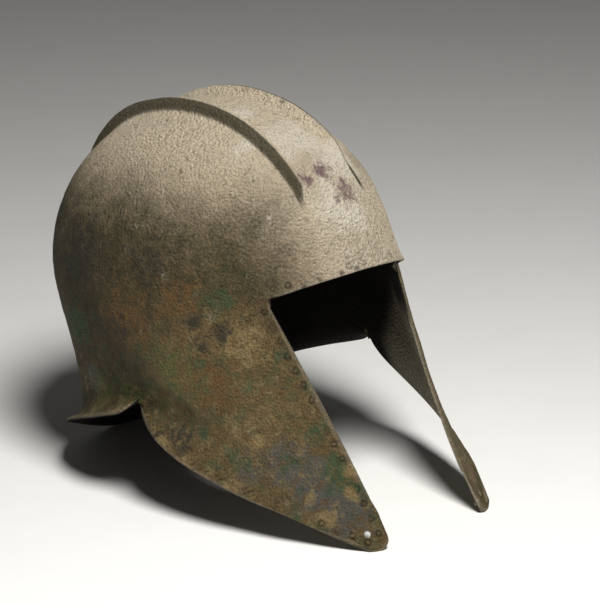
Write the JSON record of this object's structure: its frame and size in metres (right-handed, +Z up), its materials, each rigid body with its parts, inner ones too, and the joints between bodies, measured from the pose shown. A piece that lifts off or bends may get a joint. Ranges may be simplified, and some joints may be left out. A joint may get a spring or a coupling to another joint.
{
  "type": "illyrian helmet",
  "caption": "Hammered bronze helmet with an open face, long pointed cheek-pieces, twin crest ridges over the skull and a flared neck guard, worn and corroded.",
  "frame": {"origin": "on the ground under the middle of the helmet's length and width, the helmet resting by itself on its two cheek tips and the back of its neck guard", "axes": "+Z up, the face opening towards -Y, +X towards the wearer's left"},
  "size_m": [0.1878, 0.2619, 0.2082],
  "materials": {
    "aged_bronze": "corroded and pitted, matt, green-brown patina"
  },
  "bodies": {
    "root": {"helmet_shell": "aged_bronze"}
  },
  "joints": []
}
